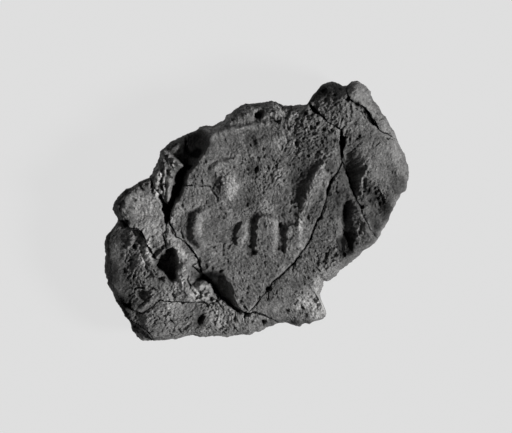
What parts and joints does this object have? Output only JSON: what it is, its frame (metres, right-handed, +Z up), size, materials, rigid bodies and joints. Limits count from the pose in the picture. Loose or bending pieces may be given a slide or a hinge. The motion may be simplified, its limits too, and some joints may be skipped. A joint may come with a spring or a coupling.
{
  "type": "clay bulla",
  "caption": "Irregular cracked clay lump with a worn oval seal impression on top and a flat back grooved by string.",
  "frame": {"origin": "under the middle of the lump, in the plane of its flat back", "axes": "+X along the lump's length, towards the end with the knob, +Z up out of the stamped face"},
  "size_m": [0.03, 0.021, 0.0095],
  "materials": {
    "dried_clay": "matt, gritty, with small pits and fine cracks"
  },
  "bodies": {
    "root": {"seal_field": "dried_clay", "lower_wedge": "dried_clay", "right_fragment": "dried_clay", "top_right_flake": "dried_clay", "upper_left_ridge": "dried_clay", "left_shoulder": "dried_clay", "left_end": "dried_clay", "bottom_strip": "dried_clay", "lower_left_flake": "dried_clay"}
  },
  "joints": []
}
